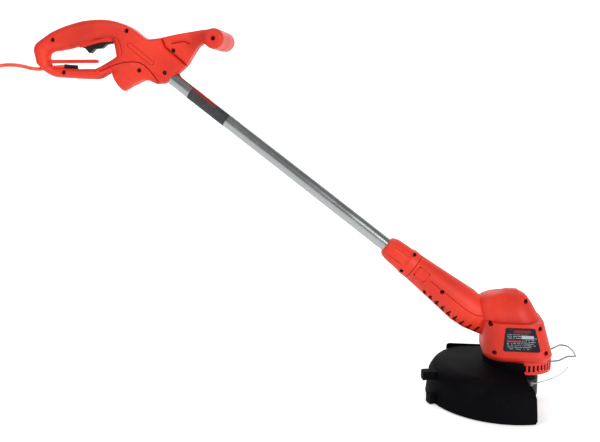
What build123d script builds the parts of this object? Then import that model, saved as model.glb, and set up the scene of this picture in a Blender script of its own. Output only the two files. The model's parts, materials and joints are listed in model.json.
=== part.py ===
from build123d import *
import math
import os

os.makedirs("parts", exist_ok=True)

# Corded string trimmer, in millimetres, in its working pose.
# Origin: the spool's axis at the level of the bump knob's foot.
# +X is forward, away from the user, +Y is the user's left, +Z is up.

shaft_angle = 37.5          # the tube's slope below the horizontal, going forward
shaft_axis_height = 81.0    # where the tube's axis crosses X = 0
tube_radius = 12.5
tube_wall = 1.2
tube_low_end = 212.0        # distances along the tube are counted up from X = 0
tube_high_end = 850.0
wall = 2.6                  # moulded plastic wall
running_gap = 0.3

handle_half = 17.0          # half the grip's thickness, along Y
handle_round = 7.5
window_round = 4.0
cup_radius = 22.0
arm_half = 14.0
grip_bar_radius = 17.5
grip_bar_length = 106.0

collar_low = 249.5
collar_high = 311.0
neck_end = 248.5
swivel_gap = 0.3

housing_floor = 78.0
housing_belt = 141.0
housing_crown = 196.0
guard_radius = 134.0
guard_centre_x = -36.0
guard_wall = 2.6
guard_left = 84.0           # the guard is cut off square beyond this Y

spool_radius = 28.0
line_height = 30.0
motor_shaft_radius = 4.0
wire_radius = 1.4
wire_half_width = 31.0
wire_end_x, wire_end_z = 4.0, 69.9    # where each straight leg starts
wire_rise = 0.147              # the legs' slope
vent_ring_slots = 40
screw_radius = 1.75
screw_head_radius = 3.2
screw_hole_radius = 3.9
post_radius = 4.6            # the moulded posts that the screws go into
cord_radius = 3.25

slope = math.radians(shaft_angle)
shaft_plane = Plane(
    origin=(0, 0, shaft_axis_height),
    x_dir=(math.sin(slope), 0, math.cos(slope)),
    z_dir=(-math.cos(slope), 0, math.sin(slope)),
)


def save(shape, name):
    shape.label = name
    export_step(shape, f"parts/{name}.step")


def along_shaft(shape, distance=0.0):
    """Places a shape made about +Z on the tube's axis, this far up from X = 0."""
    return shaft_plane * Pos(0, 0, distance) * shape


def side_face(points, radii):
    """A face in the XZ plane with its corners rounded."""
    return Plane.XZ * make_face(FilletPolyline(*points, radius=radii, close=True))


def side_plate(points, radii, half):
    """A plate symmetric about Y = 0 with this outline."""
    return extrude(side_face(points, radii), amount=half, both=True)


def turned(points, x=0.0, y=0.0):
    """A solid of revolution about a vertical axis from (radius, z) points."""
    profile = Plane.XZ * make_face(Polyline(*points, close=True))
    return Pos(x, y, 0) * revolve(profile, Axis.Z)


def turned_on_shaft(points):
    """A solid of revolution about the tube's axis from (radius, distance) points."""
    profile = Plane.XZ * make_face(Polyline(*points, close=True))
    return along_shaft(revolve(profile, Axis.Z))


def ring(outer, inner, low, high, x=0.0, y=0.0):
    return turned([(inner, low), (outer, low), (outer, high), (inner, high)], x, y)


def halves(shape):
    """The right half, towards -Y, and the left half, towards +Y."""
    return split(shape, Plane.XZ, keep=Keep.TOP), split(shape, Plane.XZ, keep=Keep.BOTTOM)


def cross_pin(radius, x, z, y_low, y_high):
    """A cylinder along Y."""
    return Pos(x, (y_low + y_high) / 2, z) * Rot(90, 0, 0) * Cylinder(radius, y_high - y_low)


def solids_of(*shapes):
    """Several separate solids kept together as one node."""
    return Compound(children=[solid for shape in shapes for solid in shape.solids()])


# ---------------------------------------------------------------- rear handle

handle_outline = [
    (-886.5, 617.5), (-873, 632), (-838, 652.5), (-788, 667), (-744, 667), (-703, 655),
    (-674, 631), (-646, 634), (-639, 617), (-601, 585.5), (-617, 572), (-635, 556.5),
    (-657, 552.5), (-680, 560.5), (-700, 551), (-741, 573.5), (-767, 561.2), (-843, 565.3),
    (-862, 573), (-881, 590.5),
]
handle_radii = [10, 40, 60, 50, 50, 40, 6, 2, 6, 3, 6, 4, 9, 14, 10, 8, 14, 20, 12, 8]
window_outline = [
    (-857, 581), (-857, 609), (-812, 616), (-752, 633.5), (-735, 631), (-730.5, 602),
    (-771, 580.5),
]
window_radii = [8, 8, 30, 12, 5, 9, 14]
cup_end = (-730.5, 558.5)
cup_axis = (0.87, 0.0, 0.493)
cup_length = 46.0
cup_depth = 24.0
trigger_pivot = (-741.0, 631.5)
trigger_half = 6.0
hook_low, hook_high = 591.0, 597.0
hook_tip = -767.0
cord_exit = (-829.0, 0.0, 584.6)
notch_count = 8                # small notches under the lower strut

handle_screws = [(-843.5, 631), (-707, 645.3), (-827, 574), (-685, 577), (-639.8, 572.8)]


def slot_outline():
    """The outline of a long slot, sunk a little into the handle's flank."""
    rim = SlotOverall(54, 9) - SlotOverall(52, 7)
    return Rot(90, 0, 0) * extrude(rim, amount=0.7, both=True)


def cup_body(radius, start, length):
    plane = Plane(origin=(cup_end[0], 0, cup_end[1]), z_dir=cup_axis)
    return plane * Pos(0, 0, start + length / 2) * Cylinder(radius, length)


def handle_body():
    outside = side_plate(handle_outline, handle_radii, handle_half)
    big_faces = outside.faces().sort_by(Axis.Y)
    outside = fillet(big_faces[0].edges() + big_faces[-1].edges(), handle_round)
    outside -= side_plate(window_outline, window_radii, handle_half + 1)
    big_faces = outside.faces().filter_by(Axis.Y).sort_by(Axis.Y)
    window_edges = [edge for face in (big_faces[0], big_faces[-1])
                    for edge in face.inner_wires()[0].edges()]
    outside = fillet(window_edges, window_round)
    cup = cup_body(cup_radius, 0, cup_length)
    cup = chamfer(cup.edges().filter_by(GeomType.CIRCLE).group_by(Axis.X)[-1], 9)
    outside += cup

    inside_face = offset(side_face(handle_outline, handle_radii), amount=-wall)
    inside_face -= offset(side_face(window_outline, window_radii), amount=wall)
    inside = extrude(inside_face, amount=handle_half - wall, both=True)
    cup_hollow = cup_body(cup_radius - wall, -1, cup_depth + 1)
    cup_floor = cup_body(cup_radius - 0.1, 0, cup_depth + wall)
    inside -= cup_floor
    lip_outline = [(-797, 617.5), (-789, 618), (-757, 626.3), (-736, 627), (-736, 636), (-797, 624)]
    lip = side_plate(lip_outline, [2, 6, 20, 1, 2, 2], 9.5)
    body = outside - inside - cup_hollow + lip
    for x, z in handle_screws:
        body += cross_pin(post_radius, x, z, -handle_half + 1, handle_half - 1)
    body -= Pos(-767, 0, 625) * Box(63, 2 * trigger_half + 0.8, 30)
    body -= cross_pin(2.6, *trigger_pivot, -trigger_half - 3, trigger_half + 3)
    body -= Pos(-868, 0, 581.8) * Rot(0, 80.7, 0) * Cylinder(cord_radius + 2.3, 40)
    for i in range(notch_count):
        body -= Pos(-745 - 3.4 * i, 0, 571.2 - 1.62 * i) * Rot(0, -25, 0) * Box(1.5, 40, 3.6)
    for side in (-1, 1):
        body -= Pos(-682.7, side * handle_half, 606.4) * Rot(0, 36.1, 0) * slot_outline()
    body -= along_shaft(Cylinder(tube_radius + 0.05, tube_high_end - 700), 775)
    return drill_screws(body, handle_screws, handle_half)


def drill_screws(body, places, half):
    """A counterbore from the right side, a clearance hole and a pilot hole."""
    for x, z in places:
        body -= cross_pin(screw_hole_radius, x, z, -half - 8, -8)
        body -= cross_pin(screw_radius + 0.1, x, z, -9, 10)
    return body


def screw(x, z, head_y=-8.0, length=17.0):
    head = cross_pin(screw_head_radius, x, z, head_y - 2.4, head_y)
    shank = cross_pin(screw_radius, x, z, head_y, head_y + length)
    recess = Pos(x, head_y - 2.4, z) * (Box(4.2, 1.6, 0.9) + Box(0.9, 1.6, 4.2))
    return head + shank - recess


def make_handle():
    right, left = halves(handle_body())
    save(right, "handle_shell_right")
    save(left, "handle_shell_left")
    save(solids_of(*[screw(x, z) for x, z in handle_screws]), "handle_screws")


def make_trigger():
    outline = [
        (-795, 620), (-788, 616.5), (-779.5, 607), (-770.5, 615.5), (-757, 616.5),
        (-749, 623), (-736.5, 625), (-736.5, 636), (-760, 634), (-795, 625),
    ]
    blade = side_plate(outline, [1.5, 3, 2.2, 5, 6, 6, 2, 3, 10, 1.5], trigger_half)
    save(blade - cross_pin(1.55, *trigger_pivot, -9, 9), "trigger")
    save(cross_pin(1.5, *trigger_pivot, -8.5, 8.5), "trigger_pin")
    spring = Pos(-786, 0, 632.9) * (Cylinder(2.6, 8) - Cylinder(1.9, 9))
    save(spring, "trigger_spring")


def make_switch():
    case = Pos(-768, 0, 647) * Box(34, 15, 20)
    plunger_slot = Pos(-773, 0, 641) * Box(5.4, 5.4, 14)
    save(fillet(case.edges().filter_by(Axis.Z), 1.5) - plunger_slot, "switch_body")
    save(Pos(-773, 0, 637.2) * Box(4.8, 4.8, 10.6), "switch_plunger")
    barrel = Pos(-722, 0, 640) * Rot(0, 0, 90) * Cylinder(5.5, 18, rotation=(90, 0, 0))
    save(barrel, "capacitor")


def make_cord_hook():
    length = hook_tip + 857.0
    middle = (hook_low + hook_high) / 2
    prong = Pos(-857 + length / 2, 0, middle) * Box(length, 9, hook_high - hook_low)
    tip = prong.edges().filter_by(Axis.Y).group_by(Axis.X)[-1]
    save(fillet(tip, 2.4), "cord_hook")


def make_cord_boot():
    start, end, low = -829.0, -806.0, 581.0
    taper = loft([
        Plane(origin=(start, 0, cord_exit[2]), z_dir=(1, 0, 0)) * RectangleRounded(9, 9, 2.5),
        Plane(origin=(end, 0, 583.8), z_dir=(1, 0, 0)) * RectangleRounded(6.6, 7, 2),
    ])
    taper = split(taper, Plane.XY.offset(low), keep=Keep.TOP)
    save(taper, "cord_boot")
    clamp = Pos(-800, 0, 571) * Box(14, 20, 5)
    save(clamp, "cord_clamp")


# ---------------------------------------------------------------- supply cord

cord_points = [
    cord_exit, (-850, 0, 584.6), (-884, -1, 579), (-918, -5, 589), (-958, -10, 587),
    (-988, -12, 560), (-1001, -11, 515), (-999, -6, 465), (-1002, 0, 414), (-1002, 0, 368),
]


def corner_radii(points):
    """Each corner's arc: 0.45 of its shorter run over the tangent of half the turn."""
    radii = []
    for before, here, after in zip(points, points[1:], points[2:]):
        first, second = Vector(*here) - Vector(*before), Vector(*after) - Vector(*here)
        half_turn = math.radians(first.get_angle(second)) / 2
        radii.append(0.45 * min(first.length, second.length) / math.tan(half_turn))
    return radii


def cord_tube(points, radius):
    """A round tube of straight runs joined by tangent arcs."""
    radii = corner_radii(points)
    print("cord radii", [round(r) for r in radii])
    path = FilletPolyline(*points, radius=radii)
    tube = sweep(Plane(origin=path @ 0, z_dir=path % 0) * Circle(radius), path)
    print("cord length", round(path.length, 1), "volume ratio",
          round(tube.volume / (math.pi * radius ** 2 * path.length), 4))
    return tube


def make_supply_cord():
    save(cord_tube(cord_points, cord_radius), "supply_cord")
    x, y, z = cord_points[-1]
    collar = Pos(x, y, z - 9) * Cone(8.5, 4.6, 18)
    shell = Pos(x, y, z - 33) * Box(26, 13, 30)
    shell = fillet(shell.edges().filter_by(Axis.Z), 5.5)
    save(collar + shell, "plug_body")
    pins = [Pos(x + side * 6.35, y, z - 48 - 8.5) * Box(1.5, 6.3, 17) for side in (-1, 1)]
    save(solids_of(*pins), "plug_pins")


# -------------------------------------------------------------- assist handle

arm_outline = [
    (-646, 634), (-575, 647), (-548, 650), (-528, 640), (-540, 610), (-556, 619),
    (-575, 623), (-601, 585.5), (-639, 617),
]
arm_radii = [2, 60, 14, 14, 12, 10, 12, 3, 6]
grip_centre = (-543.5, 628.5)
arm_screws = [(-624, 611), (-543.5, 628.5)]


def arm_body():
    plate = side_plate(arm_outline, arm_radii, arm_half)
    faces = plate.faces().sort_by(Axis.Y)
    plate = fillet(faces[0].edges() + faces[-1].edges(), 4)
    end = grip_bar_length / 2
    bar = cross_pin(grip_bar_radius, *grip_centre, -end, end)
    bar = fillet(bar.edges().filter_by(GeomType.CIRCLE), 6)
    inside = extrude(offset(side_face(arm_outline, arm_radii), amount=-wall),
                     amount=arm_half - wall, both=True)
    bar_hollow = cross_pin(grip_bar_radius - wall, *grip_centre, -end + wall, end - wall)
    body = plate + bar - inside - bar_hollow
    body += cross_pin(post_radius, *arm_screws[0], -arm_half + 1, arm_half - 1)
    body += cross_pin(post_radius, *arm_screws[1], -end + 1, end - 1)
    body -= cross_pin(screw_hole_radius, *arm_screws[0], -arm_half - 8, -8)
    body -= cross_pin(screw_hole_radius, *arm_screws[1], -end - 8, -8)
    for place in arm_screws:
        body -= cross_pin(screw_radius + 0.1, *place, -9, 10)
    return body


def make_arm():
    right, left = halves(arm_body())
    save(right, "assist_handle_right")
    save(left, "assist_handle_left")
    save(solids_of(*[screw(x, z) for x, z in arm_screws]), "assist_handle_screws")


# ----------------------------------------------------------- shaft and collar

def make_shaft():
    length = tube_high_end - tube_low_end
    middle = (tube_high_end + tube_low_end) / 2
    tube = Cylinder(tube_radius, length) - Cylinder(tube_radius - tube_wall, length + 2)
    tube = along_shaft(tube, middle) - cross_pin(screw_radius + 0.2, *handle_screws[-1], -20, 20)
    save(tube, "shaft_tube")
    sleeve = Cylinder(tube_radius + 0.25, 81) - Cylinder(tube_radius, 82)
    open_strip = Pos(16, 0, 0) * Box(20, 14, 90)
    save(along_shaft(sleeve - open_strip, 711.5), "shaft_label")
    lead = Pos(-7.4, 0, 0) * Cylinder(2.8, length - 20)
    save(along_shaft(lead, middle), "shaft_lead")


def make_collar():
    bore = tube_radius + 0.05
    shape = turned_on_shaft([
        (bore, collar_low), (24.6, collar_low), (25.2, 262), (23.2, 268), (21.4, 296),
        (19.6, 304), (16.4, 309.5), (bore, collar_high),
    ])
    shape -= turned_on_shaft([(14.6, 270), (19.5, 270), (17.8, 297), (14.6, 297)])
    for distance, up in ((262, 19.2), (262, -17)):
        shape -= along_shaft(Pos(up, -20, 0) * Rot(90, 0, 0) * Cylinder(3.4, 24), distance)
    right, left = halves(shape)
    save(right, "collar_right")
    save(left, "collar_left")
    screws = []
    for distance, up in ((262, 19.2), (262, -17)):
        head = along_shaft(Pos(up, -9.4, 0) * Rot(90, 0, 0) * Cylinder(3.0, 2.4), distance)
        screws.append(head)
    save(solids_of(*screws), "collar_screws")


# ------------------------------------------------------------- motor housing

neck_profile = [(24.5, neck_end), (28.6, 197), (33.8, 138), (31.5, 112), (22.0, 78), (0, 60)]
base_sections = [           # height, rear X, front X, half width, corner radius
    (housing_floor, -67, 41, 50.5, 30), (83, -72, 43.5, 56.5, 33), (88, -74, 45, 58.5, 34),
    (housing_belt + 5, -75, 28.5, 53, 33),
]
crown_sections = [
    (housing_belt, -84, 27, 42, 40), (158, -86, 18.5, 40, 37), (172, -87, 10.5, 34, 31),
    (183, -79, 3, 26, 23), (191, -58, -6.5, 16.5, 14), (housing_crown, -38, -15, 6, 5),
]
housing_screws = [          # X, Z, the head's Y, half the post's length
    (-64, 143, -24, 36), (-3, 179, -12, 20), (19, 137.6, -36, 56), (30.3, 95.9, -36, 56),
    (-57, 95, -36, 56), (-147, 193.5, -18, 31),
]
vent_count = 9


def rounded_section(z, rear, front, half, radius, inset):
    width, depth = front - rear - 2 * inset, 2 * half - 2 * inset
    return Pos((rear + front) / 2, 0, z) * RectangleRounded(width, depth, radius - inset)


def housing_solid(inset):
    lift = [inset, inset / 2, 0, -inset]
    base = loft([
        rounded_section(z + up, rear, front, half, radius, inset)
        for up, (z, rear, front, half, radius) in zip(lift, base_sections)
    ], ruled=True)
    sections = [
        rounded_section(z - (inset if z > 180 else 0), rear, front, half, radius, inset)
        for z, rear, front, half, radius in crown_sections
    ]
    crown = loft(sections)
    neck = turned_on_shaft([
        (0, neck_end + 1 if inset else neck_end),
        *[(max(radius - inset, 0), distance) for radius, distance in neck_profile[:-1]],
        (0, 60 + inset),
    ])
    return base + crown + neck


def vent_slots():
    """Oval slots in two rows along the underside of the neck."""
    slots = []
    for side in (-1, 1):
        for i in range(vent_count):
            distance = 206 - 14.1 * i
            reach = 46 - max(0, i - 6) * 3
            facing = (-0.80, side * 0.60, 0)
            plane = Plane(origin=(0, 0, distance), x_dir=(0, 0, 1), z_dir=facing)
            oval = extrude(plane * Rot(0, 0, 42 * side) * SlotOverall(12.5, 5.6), reach)
            slots.append(shaft_plane * oval)
    return slots


def housing_body():
    shell = housing_solid(0) - housing_solid(wall)
    for distance, radius in ((218, 25.6), (242, 23.8)):
        bearing = Cylinder(radius, 5) - Cylinder(tube_radius + swivel_gap, 6)
        shell += along_shaft(bearing, distance)
    shell -= Pos(0, 0, housing_floor) * Cylinder(13, 12)
    post_space = housing_solid(wall / 2) - Pos(0, 0, 110) * Cylinder(30.6, 54)
    for x, z, head_y, half in housing_screws:
        shell += cross_pin(post_radius, x, z, -half, half) & post_space
        shell -= cross_pin(screw_hole_radius, x, z, -70, head_y)
        shell -= cross_pin(screw_radius + 0.1, x, z, head_y - 1, 9)
    for slot in vent_slots():
        shell -= slot
    button_hole = along_shaft(Pos(1.5, -22, 0) * Box(18.6, 14, 22.6), 231)
    return shell - button_hole - plate_solid(0.9, 1.2, 6)


def make_housing():
    right, left = halves(housing_body())
    save(right, "motor_housing_right")
    save(left, "motor_housing_left")
    screws = [screw(x, z, head_y, 8 - head_y) for x, z, head_y, _ in housing_screws]
    save(solids_of(*screws), "housing_screws")


def plate_solid(grow, inward, thick):
    """The nameplate's trapezoid on the right flank, which leans in with height."""
    low, high = (99.5, -57.4), (139.5, -53.6)
    lean = math.degrees(math.atan2(high[1] - low[1], high[0] - low[0]))
    plane = Plane(origin=(0, low[1], low[0])) * Rot(90 - lean, 0, 0)
    outline = [(-43, 0), (20, 0), (9.5, 40.5), (-39.5, 40.5)]
    face = make_face(FilletPolyline(*outline, radius=3, close=True))
    if grow:
        face = offset(face, amount=grow)
    return plane * Pos(0, 0, -inward) * extrude(face, thick)


def make_nameplate():
    save(plate_solid(0, 1.1, 0.7), "nameplate")


# --------------------------------------------------------------------- motor

def make_motor():
    save(ring(30, 18.7, 98, 130), "stator_core")
    save(solids_of(ring(27.5, 19.5, 91.5, 97.9), ring(27.5, 19.5, 130.1, 134.5)), "stator_coils")
    upper = ring(9.5, motor_shaft_radius + 0.03, 150, 157)
    lower = ring(11, motor_shaft_radius + 0.03, 83, 90)
    save(solids_of(upper, lower), "motor_bearings")
    save(ring(34, 11.05, 83, 90.2), "lower_bearing_bracket")
    holders, brushes, springs = [], [], []
    for side in (-1, 1):
        case = Pos(0, side * 20.5, 142) * (Box(9, 18, 9) - Box(5.2, 19, 6.2))
        holders.append(case)
        brushes.append(Pos(0, side * 16.2, 142) * Box(5, 12, 6))
        springs.append(Pos(0, side * 25.8, 142) * Rot(90, 0, 0) * (Cylinder(2, 6.8)))
    save(solids_of(*holders), "brush_holders")
    save(solids_of(*brushes), "carbon_brushes")
    save(solids_of(*springs), "brush_springs")


def make_rotor():
    save(ring(motor_shaft_radius, 0, 12.5, 159), "motor_shaft")
    bore = motor_shaft_radius
    core = ring(18, bore, 100, 128)
    for i in range(12):
        core -= Rot(0, 0, 30 * i) * Pos(16, 0, 114) * Box(5, 2, 30)
    save(core, "armature_core")
    save(solids_of(ring(15, bore, 94, 99.9), ring(15, bore, 128.1, 134)), "armature_coils")
    save(ring(10, bore, 136, 147.5), "commutator")
    fan = ring(28, bore, 72, 74) + ring(9, bore, 57, 74)
    for i in range(10):
        fan += Rot(0, 0, 36 * i) * Pos(17, 0, 64.5) * Rot(0, 0, 20) * Box(22, 1.6, 15)
    save(fan & ring(27.5, bore, 57, 74), "cooling_fan")


# ---------------------------------------------------------------- spool head

line_start = (14.4, -24.0, line_height)
line_points = [line_start, (37, -10, 30.6), (58, 7, 31.6), (76, 28, 32.4), (89, 50, 33), (95, 63, 33)]


def make_spool():
    case = turned([
        (motor_shaft_radius, 38), (motor_shaft_radius, 44), (22, 44), (spool_radius, 38),
        (spool_radius, 6), (spool_radius - 1.5, 4.5), (20.4, 4.5), (20.4, 7), (25.8, 7),
        (25.8, 36), (22, 38),
    ])
    exit_angle = math.degrees(math.atan2(line_start[1], line_start[0]))
    window = Rot(0, 0, exit_angle) * Pos(spool_radius - 2, 0, line_height) * Box(8, 7, 7)
    save(case - window, "spool_case")
    eyelet = Rot(0, 0, exit_angle) * Pos(spool_radius - 1.6, 0, line_height) * Box(3.0, 6.8, 6.8)
    bore = Pos(line_start) * Rot(0, 0, 31) * Rot(0, 90, 0) * Cylinder(1.2, 30)
    save(eyelet - bore, "line_eyelet")
    spool = turned([
        (4.3, 16), (24.5, 16), (24.5, 18), (12, 18), (12, 33), (24.5, 33), (24.5, 35),
        (4.3, 35),
    ])
    save(spool, "line_spool")
    save(ring(22, 12, 18, 33), "wound_line")
    save(ring(8, 6.8, 11.2, 15.9), "spool_spring")
    knob = turned([
        (0, 0), (11, 0), (16, 1.2), (19, 4), (20, 8.2), (22, 8.2), (22, 11), (4.6, 11),
        (4.6, 6), (0, 6),
    ])
    for i in range(12):
        knob -= Rot(0, 0, 30 * i) * Pos(20.6, 0, 4) * Cylinder(1.8, 8)
    save(knob, "bump_knob")


def make_cutting_line():
    save(cord_tube(line_points, 0.9), "cutting_line")


# ---------------------------------------------------------- guard and vents

def along_wire(side):
    """The middle of one straight leg of the wire, turned to lie along it."""
    return Pos(wire_end_x + 25, side * wire_half_width, wire_end_z + 25 * wire_rise) * Rot(
        0, -math.degrees(math.atan(wire_rise)), 0)


def make_vent_ring():
    cage = ring(49, 46.4, 55.5, 77.9) + ring(49, 43.2, 55.5, 57.7)
    for i in range(vent_ring_slots):
        angle = 360 * (i + 0.5) / vent_ring_slots
        cage -= Rot(0, 0, angle) * Pos(47, 0, 66) * Box(12, 4.2, 11.6)
    for side in (-1, 1):
        cage -= along_wire(side) * Box(90, 4.4, 4.6)
    save(cage, "vent_ring")


guard_plan = [               # the guard's edges seen from above: open towards +X and +Y
    (-200, -200), (7, -200), (7, -128), (4.5, -122), (-5.5, -104), (-6.8, -96), (-6.8, 60),
    (4, 80), (4, guard_left), (-200, guard_left),
]


def guard_dome(inset, foot=0.0):
    """The guard's solid of revolution: a shallow deck, a round shoulder and a skirt."""
    corners = [
        (0, 65.5), (62, 64.5), (106, 61), (121, 55), (129, 41), (guard_radius, 0),
    ]
    path = [(max(radius - inset, 0), height - inset) for radius, height in corners[:-1]]
    path += [(guard_radius - inset, foot)]
    top = FilletPolyline(*path, radius=[200, 40, 16, 12])
    profile = Plane.XZ * make_face(top + Polyline(path[-1], (0, foot), path[0]))
    return Pos(guard_centre_x, 0, 0) * revolve(profile, Axis.Z)


def make_guard():
    plan = extrude(make_face(Polyline(*guard_plan, close=True)), 120)
    front_corner = Pos(8, -130, 0) * Rot(0, 35, 0) * Box(8, 30, 14)
    dome = (guard_dome(0) & plan) - front_corner
    tab = Pos(-166.5, -37, 45) * Rot(0, 0, 16) * Box(26, 17, 15)
    tab = fillet(tab.edges().group_by(Axis.X)[0], 4)
    lug = Pos(guard_centre_x - 122, -52, 8) * Rot(0, 0, 25) * Box(22, 16, 16)
    lip = Pos(-47, guard_left - 1.4, 50) * Box(162, 2.8, 29)
    lip = fillet(lip.edges().filter_by(Axis.Y).group_by(Axis.Z)[-1], 6)
    collar = ring(57, 54.2, 62, 77.9, -13)
    arrow = Pos(-92, -88, 60) * Rot(0, 0, 50) * Box(14, 2.4, 5)
    dome += tab + lug + (lip & Pos(guard_centre_x, 0, 40) * Cylinder(126, 80))
    dome += collar & plan
    dome += arrow & guard_dome(-0.8)
    dome -= guard_dome(guard_wall, -2)
    dome += lip & guard_dome(guard_wall, -2) & Pos(0, 0, 50) * Box(400, 400, 60)
    dome -= Pos(0, 0, 60) * Cylinder(50.2, 60)
    save(dome, "guard")
    places = [(-58, 20), (-58, -20)]
    save(solids_of(*[ring(4, 0, 65.4, 68, x, y) for x, y in places]), "guard_screws")
    blade = Pos(guard_centre_x, 0, 29) * Rot(0, 0, -75.5) * Pos(122.4, 0, 0) * Box(1.6, 14, 14)
    save(blade, "line_cutter")


def make_wire_guard():
    """One bent wire: two legs that slide under the housing, and a raised front bow."""
    def straight(x, side):
        return (x, side * wire_half_width, wire_end_z + wire_rise * (x - wire_end_x))
    legs = [straight(wire_end_x, -1), straight(56, -1)]
    back = [straight(56, 1), straight(wire_end_x, 1)]
    bow = [(71, -31, 86), (84, -31, 86), (87, 0, 86), (82, 27, 86), (71, 31, 86)]
    path = FilletPolyline(*legs, *bow, *back, radius=[5, 5, 4, 60, 8, 5, 5])
    wire = sweep(Plane(origin=path @ 0, z_dir=path % 0) * Circle(wire_radius), path)
    save(wire, "plant_guard")


# --------------------------------------------------------------- lock button

def make_button():
    pad = along_shaft(Pos(1.5, -23.6, 0) * Box(18, 5, 22), 231)
    edges = pad.edges().filter_by(lambda edge: abs((edge % 0.5).Y) > 0.9)
    save(fillet(edges, 4), "swivel_button")
    save(along_shaft(Pos(1.5, -17.4, 0) * Rot(90, 0, 0) * Cylinder(3, 6.8), 231), "button_spring")


make_handle()
make_trigger()
make_switch()
make_cord_hook()
make_cord_boot()
make_supply_cord()
make_arm()
make_shaft()
make_collar()
make_housing()
make_nameplate()
make_motor()
make_rotor()
make_spool()
make_cutting_line()
make_vent_ring()
make_guard()
make_wire_guard()
make_button()
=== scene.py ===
import json
import math
import bpy
import numpy as np
from mathutils import Matrix, Vector
from mathutils.bvhtree import BVHTree


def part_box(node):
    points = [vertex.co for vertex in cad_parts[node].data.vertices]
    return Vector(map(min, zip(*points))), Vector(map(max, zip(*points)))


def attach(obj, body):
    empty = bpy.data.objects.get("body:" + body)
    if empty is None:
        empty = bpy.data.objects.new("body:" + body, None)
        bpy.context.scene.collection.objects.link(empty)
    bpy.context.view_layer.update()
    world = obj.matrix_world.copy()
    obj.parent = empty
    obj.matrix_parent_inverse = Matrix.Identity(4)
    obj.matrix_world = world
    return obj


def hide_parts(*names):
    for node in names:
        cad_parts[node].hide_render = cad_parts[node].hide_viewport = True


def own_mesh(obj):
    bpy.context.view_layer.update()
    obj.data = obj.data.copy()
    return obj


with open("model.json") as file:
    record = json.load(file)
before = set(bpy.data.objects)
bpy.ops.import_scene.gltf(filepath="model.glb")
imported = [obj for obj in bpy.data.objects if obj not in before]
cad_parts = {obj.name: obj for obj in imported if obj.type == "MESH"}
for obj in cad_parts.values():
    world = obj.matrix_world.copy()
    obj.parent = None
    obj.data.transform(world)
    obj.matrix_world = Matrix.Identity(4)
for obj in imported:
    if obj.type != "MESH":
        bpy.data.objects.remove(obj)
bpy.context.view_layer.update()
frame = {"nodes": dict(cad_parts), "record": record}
print("frame loaded:", len(frame["nodes"]), "nodes")

# the tube's slope and the place where its axis crosses X = 0
shaft = {"angle": math.radians(37.5), "height": 0.081, "radius": 0.0125}
shaftUp = (-math.cos(shaft["angle"]), 0.0, math.sin(shaft["angle"]))
shaftSide = (math.sin(shaft["angle"]), 0.0, math.cos(shaft["angle"]))


# shader maths

class Wire:
    # a socket whose arithmetic adds Math nodes
    def __init__(self, sheet, socket):
        self.sheet, self.socket = sheet, socket

    def join(self, operation, first, second=0.0):
        return self.sheet.add("ShaderNodeMath", {"operation": operation}, {0: first, 1: second})

    def __add__(self, other): return self.join("ADD", self, other)
    def __radd__(self, other): return self.join("ADD", other, self)
    def __sub__(self, other): return self.join("SUBTRACT", self, other)
    def __rsub__(self, other): return self.join("SUBTRACT", other, self)
    def __mul__(self, other): return self.join("MULTIPLY", self, other)
    def __rmul__(self, other): return self.join("MULTIPLY", other, self)
    def __truediv__(self, other): return self.join("DIVIDE", self, other)
    def __gt__(self, other): return self.join("GREATER_THAN", self, other)
    def __lt__(self, other): return self.join("LESS_THAN", self, other)
    def __abs__(self): return self.join("ABSOLUTE", self)
    def __mod__(self, other): return self.join("FLOORED_MODULO", self, other)
    def floor(self): return self.join("FLOOR", self)
    def smaller(self, other): return self.join("MINIMUM", self, other)
    def angle(self, other): return self.join("ARCTAN2", self, other)

    def soft(self, low, high):
        # 0 below low, 1 above high, smooth between
        return self.sheet.add("ShaderNodeMapRange", {"interpolation_type": "SMOOTHSTEP"},
                              {"Value": self, "From Min": low, "From Max": high})


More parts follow.
